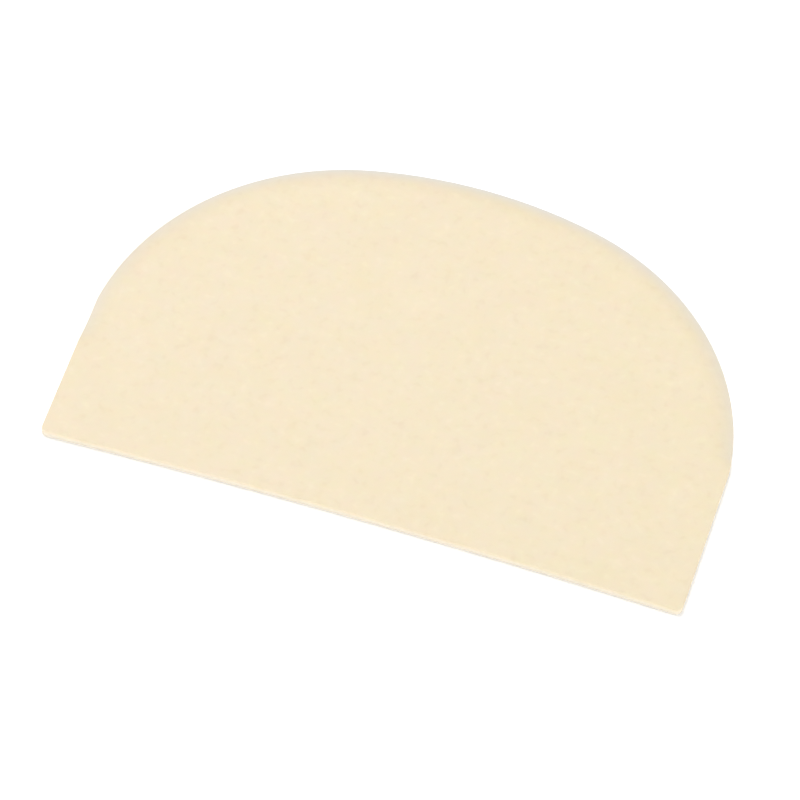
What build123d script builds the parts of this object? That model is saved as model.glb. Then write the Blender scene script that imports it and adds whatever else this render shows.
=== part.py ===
from build123d import *
import math
import os

# Bowl scraper: one moulded card of springy plastic, D-shaped in plan.
# It lies flat, underside on Z = 0. X runs along the base edge, Y from the base edge to
# the crown of the arch, and the origin is under the middle of the card's bounding box.
# All sizes are in millimetres, angles in degrees.

# Card in plan
width = 120.0  # across the straight sides
height = 80.0  # from the base corners to the crown of the arch
side_height = 32.5  # straight part of each side, up to the foot of the arch
crown_radius = 89.0  # the flatter arc at the top of the arch
shoulder_inset = 9.0  # by how much a shoulder arc is tighter than one of half the width
shoulder_radius = width / 2 - shoulder_inset
base_hollow = 1.1  # rise of the base edge at its middle
corner_radius = 1.2  # the two base corners

# Card in section
thickness = 1.6
face_edge_radius = 0.2  # upper edge along the base and the sides
under_edge_radius = 0.3  # lower edge all round

# Bevel that thins the arch to a scraping lip
bevel_width = 4.5  # from the rim inwards
lip_thickness = 0.6  # left at the rim, before the lip's edge is rounded
lip_edge_radius = 0.25
lip_edge_slope_deg = 75.0  # how far the lip's rounding turns down before it meets the rim

# Right end of the bevel, a short flank that rises to the face
flank_run = 1.0  # from the foot of the arch down to the top of the flank, at the rim
flank_radius = 5.5
flank_lean_deg = 35.0  # how far the flank leans towards the crown, in plan

# Left end of the bevel, which swings out of the card and fades
swing_run = 6.0  # from the foot of the arch down to where the bevel leaves the side
swing_radius = 4.0

# Room that the cutters have outside the card
cutter_overrun = 2.0

export_folder = "parts"


def arch_centres():
    """Centres of the crown arc and of the right shoulder arc, and the angle where they meet.

    The shoulder arc starts at the top of the side and runs into the crown arc without a kink,
    so its centre lies one shoulder radius from the side's top, and as far from the crown's
    centre as the two radii differ.
    """
    crown = Vector(0, height - crown_radius)
    side_top = Vector(width / 2, side_height)
    span = side_top - crown
    to_crown = crown_radius - shoulder_radius
    along = (to_crown**2 - shoulder_radius**2 + span.length**2) / (2 * span.length)
    aside = math.sqrt(to_crown**2 - along**2)
    direction = span.normalized()
    shoulder = crown + direction * along + Vector(-direction.Y, direction.X) * aside
    to_shoulder = shoulder - crown
    meeting_deg = math.degrees(math.atan2(to_shoulder.Y, to_shoulder.X))
    return crown, shoulder, meeting_deg


def shoulder_start_deg(shoulder):
    """Angle, seen from the shoulder arc's centre, of the top of the right side."""
    return math.degrees(math.atan2(side_height - shoulder.Y, width / 2 - shoulder.X))


def arch_arcs():
    """The arch from right to left, as (centre, radius, start angle, sweep) of each arc."""
    crown, shoulder, meeting_deg = arch_centres()
    start_deg = shoulder_start_deg(shoulder)
    left_shoulder = Vector(-shoulder.X, shoulder.Y)
    shoulder_sweep = meeting_deg - start_deg
    return [
        (shoulder, shoulder_radius, start_deg, shoulder_sweep),
        (crown, crown_radius, meeting_deg, 180 - 2 * meeting_deg),
        (left_shoulder, shoulder_radius, 180 - meeting_deg, shoulder_sweep),
    ]


def card_outline():
    """The plan view: hollow base edge, straight sides and the three arcs of the arch."""
    base_left = (-width / 2, 0)
    base_right = (width / 2, 0)
    edges = [
        ThreePointArc(base_left, (0, base_hollow), base_right),
        Line(base_right, (width / 2, side_height)),
        Line((-width / 2, side_height), base_left),
    ]
    edges += [CenterArc(*arc) for arc in arch_arcs()]
    face = make_face(edges)
    base_corners = face.vertices().sort_by(Axis.Y)[:2]
    return fillet(base_corners, corner_radius)


def bevel_section(radius):
    """Section that the bevel removes, for a rim at this radius, drawn in the XZ plane.

    The bevel leaves the face without a step, steepens evenly towards the rim and rolls over
    at the lip. Its two arcs are tangent where they meet.
    """
    drop = thickness - lip_thickness
    bevel_radius = (bevel_width**2 + drop**2) / (2 * drop)
    roll = lip_edge_radius * math.sin(math.radians(lip_edge_slope_deg))
    turn_deg = math.degrees(math.asin((bevel_width - roll) / (bevel_radius - lip_edge_radius)))
    bevel_centre = Vector(radius - bevel_width, thickness - bevel_radius)
    lip_centre = bevel_centre + Vector(0, bevel_radius - lip_edge_radius).rotate(Axis.Z, -turn_deg)
    bevel_arc = CenterArc(bevel_centre, bevel_radius, 90, -turn_deg)
    lip_arc = CenterArc(lip_centre, lip_edge_radius, 90 - turn_deg, turn_deg - lip_edge_slope_deg)
    outside_x = radius + cutter_overrun
    above_z = thickness + cutter_overrun
    rim = lip_arc @ 1
    corners = [rim, (outside_x, rim.Y), (outside_x, above_z),
               (radius - bevel_width, above_z), bevel_arc @ 0]
    return Plane.XZ * make_face([bevel_arc, lip_arc, Polyline(*corners)])


def bevel_ring(centre, radius, start_deg, sweep_deg):
    """One arc's share of the bevel's cutter, turned about that arc's own centre.

    A negative radius puts the centre outside the card.
    """
    at_start = Rot(0, 0, start_deg) * bevel_section(radius)
    ring = revolve(at_start, Axis.Z, sweep_deg)
    return Pos(centre.X, centre.Y, 0) * ring


def bevel_beside(run):
    """The bevel's cutter down the right side, this far below the foot of the arch."""
    return Pos(0, side_height, 0) * extrude(bevel_section(width / 2), run)


def flank_rest():
    """What the bevel leaves standing at its right end.

    Its edge falls from the face as one arc, which starts along a leaning line in plan.
    """
    lean = math.radians(flank_lean_deg)
    across = Vector(math.sin(lean), math.cos(lean), 0)
    start = Vector(width / 2, side_height - flank_run, thickness)
    section_plane = Plane(origin=start, x_dir=across, z_dir=across.cross(Vector(0, 0, 1)))
    turn_deg = math.degrees(math.acos(1 - thickness / flank_radius))
    fall = CenterArc((0, -flank_radius), flank_radius, 90, -turn_deg)
    foot = fall @ 1
    reach = foot.X + bevel_width + cutter_overrun
    surround = Polyline(foot, (-reach, -thickness), (-reach, reach), (0, reach), fall @ 0)
    return extrude(section_plane * make_face([fall, surround]), reach, both=True)


def fading_end():
    """The bevel's cutter down the side and then out of the card. Drawn on the right.

    Its rim swings outwards on an arc, so that the bevel narrows and thins out to nothing.
    """
    swing_centre = Vector(width / 2 + swing_radius, side_height - swing_run)
    return bevel_beside(swing_run) + bevel_ring(swing_centre, -swing_radius, 0, 90)


def bevel_cutter():
    """Everything that the bevel takes off the card."""
    right_shoulder, crown_arc, left_shoulder = [bevel_ring(*arc) for arc in arch_arcs()]
    right = right_shoulder + bevel_beside(flank_run + cutter_overrun) - flank_rest()
    left = left_shoulder + mirror(fading_end(), Plane.YZ)
    return crown_arc + right + left


def scraper_blade():
    """The moulded card, its edges rounded before the bevel takes the rounding off the arch."""
    card = extrude(card_outline(), thickness)
    card = fillet(card.edges().group_by(Axis.Z)[-1], face_edge_radius)
    card = fillet(card.edges().group_by(Axis.Z)[0], under_edge_radius)
    card -= bevel_cutter()
    middle = card.bounding_box().center()
    return Pos(-middle.X, -middle.Y, 0) * card


if __name__ == "__main__":
    os.makedirs(export_folder, exist_ok=True)
    export_step(scraper_blade(), os.path.join(export_folder, "scraper_blade.step"))
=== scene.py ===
import math

import bpy
from mathutils import Matrix, Vector


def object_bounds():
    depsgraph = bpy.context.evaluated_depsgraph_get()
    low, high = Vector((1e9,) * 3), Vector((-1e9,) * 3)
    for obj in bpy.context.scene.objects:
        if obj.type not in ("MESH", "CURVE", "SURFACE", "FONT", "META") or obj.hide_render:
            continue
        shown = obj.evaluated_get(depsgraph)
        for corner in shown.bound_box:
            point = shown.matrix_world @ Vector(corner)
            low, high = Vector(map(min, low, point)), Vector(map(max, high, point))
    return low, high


# Bowl scraper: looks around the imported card. Metres, in the frame of the CAD.

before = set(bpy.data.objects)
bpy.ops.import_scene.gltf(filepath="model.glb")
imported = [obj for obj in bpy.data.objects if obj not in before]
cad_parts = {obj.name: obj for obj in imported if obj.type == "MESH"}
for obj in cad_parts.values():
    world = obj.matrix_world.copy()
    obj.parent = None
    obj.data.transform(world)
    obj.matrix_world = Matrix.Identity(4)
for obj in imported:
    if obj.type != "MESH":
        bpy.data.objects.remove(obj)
cad_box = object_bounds()
scene = bpy.context.scene

MM_PER_METRE = 1000.0
WHITE = (1.0, 1.0, 1.0, 1.0)

# Camera, from a fit of the card's outline in the photograph
VIEW_AZIMUTH_DEG = 12.52
VIEW_ELEVATION_DEG = 53.28
VIEW_ROLL_DEG = 5.523
VIEW_DISTANCE = 1.1826
FOCAL_PIXELS = 6490.6
IMAGE_SIDE_PIXELS = 800
SENSOR_WIDTH_MM = 36.0  # any width gives the same view, because the focal length follows it
CARD_MIDDLE_PIXEL = (423.25, 355.62)  # where the card's middle lies, from the top left

# Light: even light from all round, and soft boxes aimed at the card
SURROUNDINGS_RADIANCE = 0.3
SOFT_BOXES = {  # azimuth and elevation in degrees, and watts
    "key_light": (225.0, 70.0, 8.79),
    "front_light": (0.0, 5.0, 7.47),
    "right_light": (90.0, 20.0, 4.94),
    "left_light": (270.0, 20.0, 2.60),
}
BOX_DISTANCE = 1.2
BOX_SIDE = 0.6

# Floor, a lit white table
FLOOR_HALF_SIDE = 4.0
FLOOR_COLOUR = (0.97, 0.97, 0.97, 1.0)
FLOOR_ROUGHNESS = 0.9
FLOOR_GLOW = 0.187  # radiance that it gives off, besides what it reflects

# Sockets of a Mix node for colours
MIX_FACTOR, MIX_FIRST, MIX_SECOND = 0, 6, 7
MIX_RESULT = 2

# Noise in the plastic
PATTERN_SHIFT_MM = (0.0, 200.0, 0.0)  # the part of the noise that shows, chosen out of six
NOISE_RANGE = 0.3, 0.7  # most of the noise lies between these
FINE_DETAIL = 4.0
COARSE_DETAIL = 1.0

# Colour of the plastic, linear
CREAM_YELLOWER = (0.876, 0.759, 0.521, 1.0)
CREAM_PALER = (0.876, 0.749, 0.562, 1.0)
PALER_PER_MM = 0.21  # patches of the two creams to a millimetre
PALER_LEFT, PALER_RIGHT = 0.06, -0.06  # added to their noise at either side, for a paler left
GREEN_TINT = (0.985, 1.008, 1.0, 1.0)
PINK_TINT = (1.015, 0.992, 1.0, 1.0)
PINK_PER_MM = 0.26  # patches of the two tints to a millimetre
PATCH_ROUGHNESS = 0.75  # of the noise of both kinds of patch
ROUGHNESS = 0.58, 0.68  # of the plastic, in the grain's low places and in its high ones

# Painted sheen towards the thin lip and down the edge walls: a greyer colour, as in the
# photograph, that stands in for white light reflected off the tilted lip and shining through the
# thin plastic
PAINTED_LIP_SHEEN = (0.772, 0.744, 0.692, 1.0)
LIP_SHEEN_SHARE_CROWN = 0.97  # share of the painted sheen at the lip, at the crown of the arch
LIP_SHEEN_SHARE_BASE = 0.48  # the same at the foot of the arch and below it
LIP_SHEEN_SPREAD_MM = 8.0, 40.0  # Y from which and to which the share grows
LIP_SHEEN_DEPTHS_MM = 1.52, 0.62  # Z at which the painted sheen starts and has its whole share

# Relief of the moulded face: features to a millimetre and height of each kind
GRAIN_PER_MM = 0.15
GRAIN_ROUGHNESS = 0.6
GRAIN_HEIGHT_MM = 0.010
MARKS_PER_MM = 0.55
MARKS_ROUGHNESS = 0.5
MARKS_BEND = 0.2  # how much their outlines wander
DENTS_RANGE = 0.20, 0.43  # noise that makes a full dent, and noise that makes none
DENT_DEPTH_MM = 0.012
SWELLINGS_RANGE = 0.57, 0.78  # noise that makes no swelling, and noise that makes a full one
SWELLING_HEIGHT_MM = 0.008

# Painted shade in the dents and painted light on the swellings: colour factors that follow the
# relief
PAINTED_SHADE_DEPTH_MM = 0.02  # below and above the middle, where the painted shade and light are whole
PAINTED_SHADE_IN_DENTS = (0.943, 0.919, 0.892, 1.0)
PAINTED_LIGHT_ON_SWELLINGS = (1.057, 1.081, 1.108, 1.0)


def direction(azimuth_deg, elevation_deg):
    """Unit vector from the card. Azimuth 0 is in front of it, 90 to its right."""
    azimuth = math.radians(azimuth_deg)
    elevation = math.radians(elevation_deg)
    return Vector((
        math.sin(azimuth) * math.cos(elevation),
        -math.cos(azimuth) * math.cos(elevation),
        math.sin(elevation),
    ))


def aim_camera():
    """A camera at the photograph's angle, aimed so that the card lies where it does there."""
    data = bpy.data.cameras.new("camera")
    data.sensor_width = SENSOR_WIDTH_MM
    data.lens = FOCAL_PIXELS * SENSOR_WIDTH_MM / IMAGE_SIDE_PIXELS
    camera = bpy.data.objects.new("camera", data)
    scene.collection.objects.link(camera)
    back = direction(VIEW_AZIMUTH_DEG, VIEW_ELEVATION_DEG)
    aimed = (-back).to_track_quat("-Z", "Y").to_matrix().to_4x4()
    roll = Matrix.Rotation(math.radians(VIEW_ROLL_DEG), 4, "Z")
    right = CARD_MIDDLE_PIXEL[0] - IMAGE_SIDE_PIXELS / 2
    up = IMAGE_SIDE_PIXELS / 2 - CARD_MIDDLE_PIXEL[1]
    pan = Matrix.Rotation(math.atan2(right, FOCAL_PIXELS), 4, "Y")
    tilt = Matrix.Rotation(-math.atan2(up, math.hypot(right, FOCAL_PIXELS)), 4, "X")
    camera.matrix_world = Matrix.Translation(back * VIEW_DISTANCE) @ aimed @ roll @ pan @ tilt
    scene.camera = camera


def light_all_round():
    """Even white light from every side."""
    world = bpy.data.worlds.new("surroundings")
    world.use_nodes = True
    background = world.node_tree.nodes["Background"]
    background.inputs["Color"].default_value = WHITE
    background.inputs["Strength"].default_value = SURROUNDINGS_RADIANCE
    scene.world = world


def soft_box(name, azimuth_deg, elevation_deg, power):
    """A square soft light aimed at the card."""
    data = bpy.data.lights.new(name, "AREA")
    data.shape = "SQUARE"
    data.size = BOX_SIDE
    data.energy = power
    light = bpy.data.objects.new(name, data)
    scene.collection.objects.link(light)
    towards = direction(azimuth_deg, elevation_deg)
    light.location = towards * BOX_DISTANCE
    light.rotation_mode = "QUATERNION"
    light.rotation_quaternion = (-towards).to_track_quat("-Z", "Y")


def lay_floor():
    """The plain white floor under the card."""
    mesh = bpy.data.meshes.new("floor")
    half = FLOOR_HALF_SIDE
    corners = [(-half, -half, 0), (half, -half, 0), (half, half, 0), (-half, half, 0)]
    mesh.from_pydata(corners, [], [(0, 1, 2, 3)])
    floor = bpy.data.objects.new("floor", mesh)
    scene.collection.objects.link(floor)
    material = bpy.data.materials.new("floor_paper")
    material.use_nodes = True
    shader = material.node_tree.nodes["Principled BSDF"]
    shader.inputs["Base Color"].default_value = FLOOR_COLOUR
    shader.inputs["Roughness"].default_value = FLOOR_ROUGHNESS
    shader.inputs["Specular IOR Level"].default_value = 0.0
    shader.inputs["Emission Color"].default_value = WHITE
    shader.inputs["Emission Strength"].default_value = FLOOR_GLOW
    mesh.materials.append(material)


class NodeSheet:
    """Short ways to add and join the nodes of one material."""

    def __init__(self, material):
        self.tree = material.node_tree

    def add(self, kind, inputs=(), **settings):
        """A node with its settings made.

        Each input pairs a socket's name or number with a value, or with the socket that feeds it.
        """
        node = self.tree.nodes.new(kind)
        for name, value in settings.items():
            setattr(node, name, value)
        for name, value in inputs:
            self.feed(value, node.inputs[name])
        return node

    def feed(self, value, socket):
        """Joins a socket to the one that feeds it, or gives it a fixed value."""
        if isinstance(value, bpy.types.NodeSocket):
            self.tree.links.new(value, socket)
        else:
            socket.default_value = value

    def noise(self, place, per_mm, detail, roughness, bend=0.0):
        """Noise round a half, with this many of its largest features to a millimetre."""
        inputs = [("Vector", place), ("Scale", per_mm), ("Detail", detail),
                  ("Roughness", roughness), ("Distortion", bend)]
        return self.add("ShaderNodeTexNoise", inputs).outputs["Fac"]

    def remap(self, value, low, high, to_low, to_high):
        """The value moved evenly from one range to another, and held at its ends."""
        inputs = [("Value", value), ("From Min", low), ("From Max", high),
                  ("To Min", to_low), ("To Max", to_high)]
        return self.add("ShaderNodeMapRange", inputs).outputs["Result"]

    def sum(self, first, second):
        """Two values added."""
        inputs = [(0, first), (1, second)]
        return self.add("ShaderNodeMath", inputs, operation="ADD").outputs[0]

    def blend(self, factor, first, second, way="MIX"):
        """The first colour blended with the second one in this way, as far as the factor says."""
        inputs = [(MIX_FACTOR, factor), (MIX_FIRST, first), (MIX_SECOND, second)]
        node = self.add("ShaderNodeMix", inputs, data_type="RGBA", blend_type=way)
        return node.outputs[MIX_RESULT]


def moulded_relief(sheet, pattern):
    """The broad grain as noise, and the height in millimetres of grain, dents and swellings."""
    grain = sheet.noise(pattern, GRAIN_PER_MM, FINE_DETAIL, GRAIN_ROUGHNESS)
    ground = sheet.remap(grain, 0.0, 1.0, -GRAIN_HEIGHT_MM, GRAIN_HEIGHT_MM)
    marks = sheet.noise(pattern, MARKS_PER_MM, COARSE_DETAIL, MARKS_ROUGHNESS, MARKS_BEND)
    dents = sheet.remap(marks, *DENTS_RANGE, -DENT_DEPTH_MM, 0.0)
    swellings = sheet.remap(marks, *SWELLINGS_RANGE, 0.0, SWELLING_HEIGHT_MM)
    return grain, sheet.sum(ground, sheet.sum(dents, swellings))


def patchy_cream(sheet, pattern, across_mm):
    """Cream in patches, yellower or paler, with a tint in patches too, greener or pinker."""
    side_mm = cad_box[1][0] * MM_PER_METRE
    drift = sheet.remap(across_mm, -side_mm, side_mm, PALER_LEFT, PALER_RIGHT)
    patches = sheet.noise(pattern, PALER_PER_MM, FINE_DETAIL, PATCH_ROUGHNESS)
    pale = sheet.remap(sheet.sum(patches, drift), *NOISE_RANGE, 0.0, 1.0)
    cream = sheet.blend(pale, CREAM_YELLOWER, CREAM_PALER)
    tint_patches = sheet.noise(pattern, PINK_PER_MM, FINE_DETAIL, PATCH_ROUGHNESS)
    pink = sheet.remap(tint_patches, *NOISE_RANGE, 0.0, 1.0)
    tint = sheet.blend(pink, GREEN_TINT, PINK_TINT)
    return sheet.blend(1.0, cream, tint, "MULTIPLY")


def cream_plastic():
    """Matte moulded cream plastic: soft relief and scattered dents, with painted shade in the
    dents, painted light on the swellings, and a painted sheen that greys the thin lip.
    """
    material = bpy.data.materials.new("cream_plastic")
    material.use_nodes = True
    sheet = NodeSheet(material)
    shader = material.node_tree.nodes["Principled BSDF"]

    metres = sheet.add("ShaderNodeTexCoord").outputs["Object"]
    scale = ("Scale", (MM_PER_METRE, MM_PER_METRE, MM_PER_METRE))
    place = sheet.add("ShaderNodeMapping", [("Vector", metres), scale]).outputs["Vector"]
    axes = sheet.add("ShaderNodeSeparateXYZ", [("Vector", place)]).outputs
    shift = ("Location", PATTERN_SHIFT_MM)
    pattern = sheet.add("ShaderNodeMapping", [("Vector", place), shift]).outputs["Vector"]

    grain, height = moulded_relief(sheet, pattern)
    rough = sheet.remap(grain, *NOISE_RANGE, *ROUGHNESS)
    in_metres = [("Height", height), ("Distance", 1 / MM_PER_METRE), ("Strength", 1.0)]
    bump = sheet.add("ShaderNodeBump", in_metres).outputs["Normal"]

    cream = patchy_cream(sheet, pattern, axes["X"])
    # Painted shade in the dents and painted light on the swellings, multiplied into the cream
    raised = sheet.remap(height, -PAINTED_SHADE_DEPTH_MM, PAINTED_SHADE_DEPTH_MM, 0.0, 1.0)
    painted_relief_light = sheet.blend(raised, PAINTED_SHADE_IN_DENTS, PAINTED_LIGHT_ON_SWELLINGS)
    cream_with_painted_relief_light = sheet.blend(1.0, cream, painted_relief_light, "MULTIPLY")
    # Painted sheen: the greyer colour blended in towards the lip and down the walls
    lip_sheen_share = sheet.remap(axes["Y"], *LIP_SHEEN_SPREAD_MM, LIP_SHEEN_SHARE_BASE, LIP_SHEEN_SHARE_CROWN)
    painted_lip_sheen = sheet.remap(axes["Z"], *LIP_SHEEN_DEPTHS_MM, 0.0, lip_sheen_share)
    colour = sheet.blend(painted_lip_sheen, cream_with_painted_relief_light, PAINTED_LIP_SHEEN)

    for name, value in (("Base Color", colour), ("Roughness", rough), ("Normal", bump)):
        sheet.feed(value, shader.inputs[name])
    return material


aim_camera()
light_all_round()
for box_name, box in SOFT_BOXES.items():
    soft_box(box_name, *box)
lay_floor()

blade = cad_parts["scraper_blade"]
blade.data.materials.clear()
blade.data.materials.append(cream_plastic())

scene.view_settings.view_transform = "Standard"
